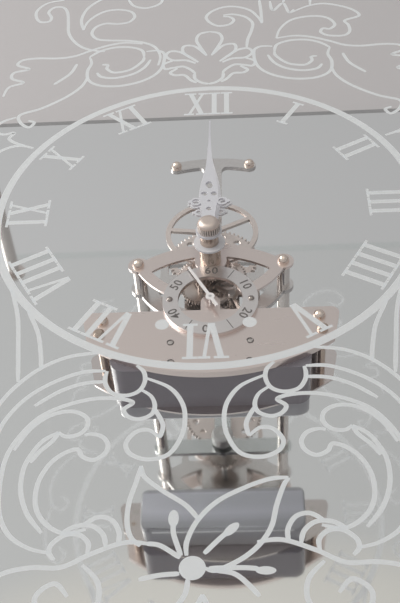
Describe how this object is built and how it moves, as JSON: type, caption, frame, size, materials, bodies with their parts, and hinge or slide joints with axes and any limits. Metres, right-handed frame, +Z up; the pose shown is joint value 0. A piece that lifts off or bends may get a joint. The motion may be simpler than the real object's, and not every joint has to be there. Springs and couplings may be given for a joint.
{
  "type": "glass-topped skeleton clock",
  "caption": "Low clock with a printed clear glass top on corner pillars, a skeleton movement with pierced hands standing on a mirrored base, and a seconds dial.",
  "frame": {"origin": "on the floor under the middle of the base, which is under the main arbor", "axes": "+Z up, out of the dial; +Y towards XII; +X to the right of a viewer who reads the dial"},
  "size_m": [0.48, 0.63, 0.1904],
  "materials": {
    "glass": "clear, polished edge",
    "mirror": "silvered glass",
    "dark_lacquer": "satin lacquer",
    "rubber": "matt",
    "polished_nickel": "polished nickel",
    "rose_nickel": "fine satin rose nickel",
    "grey_nickel": "polished grey nickel",
    "copper_ball": "polished copper tone",
    "satin_dial": "satin",
    "brass": "polished",
    "steel": "turned",
    "white_hand": "white lacquer",
    "dark_plastic": "moulded",
    "grey_plastic": "moulded",
    "cell_jacket": "printed sleeve, plain"
  },
  "bodies": {
    "frame": {"glass_top": "glass", "mirror_plate": "mirror", "base_board": "dark_lacquer", "foot_1": "rubber", "foot_2": "rubber", "foot_3": "rubber", "foot_4": "rubber", "corner_pillar_1": "polished_nickel", "corner_pillar_2": "polished_nickel", "corner_pillar_3": "polished_nickel", "corner_pillar_4": "polished_nickel", "post_leg_left": "polished_nickel", "post_leg_right": "polished_nickel", "post_mid_left": "polished_nickel", "post_mid_right": "polished_nickel", "post_front_left": "polished_nickel", "post_front_right": "polished_nickel", "ear_pillar_left": "polished_nickel", "ear_pillar_right": "polished_nickel", "front_plate": "rose_nickel", "wide_front_plate": "rose_nickel", "back_plate": "grey_nickel", "rear_bridge": "grey_nickel", "wide_rear_plate": "grey_nickel", "ball_nut_left": "copper_ball", "ball_nut_right": "copper_ball", "bar_ball_left": "copper_ball", "bar_ball_right": "copper_ball", "ear_ball_left": "copper_ball", "ear_ball_right": "copper_ball", "seconds_dial": "satin_dial", "ear_bolt_left": "brass", "ear_bolt_right": "brass", "minute_stud": "steel", "third_stud": "steel", "housing": "dark_plastic", "motor": "dark_plastic", "cell_left": "cell_jacket", "cell_right": "cell_jacket"},
    "minute": {"centre_arbor": "steel", "setting_knob": "brass", "drive_pinion": "brass", "centre_wheel": "rose_nickel", "cannon_pinion": "brass", "minute_collar": "brass", "minute_hand": "white_hand", "hand_nut": "copper_ball"},
    "hour": {"hour_pipe": "brass", "hour_wheel": "brass", "hour_hand": "white_hand"},
    "minute_wheel": {"minute_wheel": "brass"},
    "third": {"third_wheel": "brass", "third_pinion": "brass"},
    "seconds": {"seconds_arbor": "steel", "second_hand": "white_hand"},
    "upper": {"upper_arbor": "steel", "spoked_wheel": "rose_nickel", "holed_wheel": "rose_nickel"},
    "cover": {"housing_cover": "grey_plastic"}
  },
  "joints": [
    {"name": "minute_turn", "type": "hinge", "parent": "frame", "child": "minute", "pos_m": [0, 0, 0.12], "axis": [0, 0, 1], "continuous": true},
    {"name": "hour_turn", "type": "hinge", "parent": "frame", "child": "hour", "pos_m": [0, 0, 0.14], "axis": [0, 0, 1], "continuous": true},
    {"name": "minute_wheel_turn", "type": "hinge", "parent": "frame", "child": "minute_wheel", "pos_m": [-0.00609, -0.01305, 0.13], "axis": [0, 0, 1], "continuous": true},
    {"name": "third_turn", "type": "hinge", "parent": "frame", "child": "third", "pos_m": [0.01225, -0.02041, 0.128], "axis": [0, 0, 1], "continuous": true},
    {"name": "seconds_turn", "type": "hinge", "parent": "frame", "child": "seconds", "pos_m": [0, -0.0336, 0.13], "axis": [0, 0, 1], "continuous": true},
    {"name": "upper_turn", "type": "hinge", "parent": "frame", "child": "upper", "pos_m": [0, 0.038, 0.11], "axis": [0, 0, 1], "continuous": true},
    {"name": "cover_pull", "type": "slide", "parent": "frame", "child": "cover", "axis": [0, 0, -1], "range_m": [0, 0.04]}
  ],
  "couplings": [
    {"joint": "hour_turn", "follows": "minute_turn", "ratio": 0.083333},
    {"joint": "minute_wheel_turn", "follows": "minute_turn", "ratio": -0.33333},
    {"joint": "third_turn", "follows": "minute_turn", "ratio": -7.5},
    {"joint": "seconds_turn", "follows": "minute_turn", "ratio": 60},
    {"joint": "upper_turn", "follows": "minute_turn", "ratio": -0.35714}
  ]
}
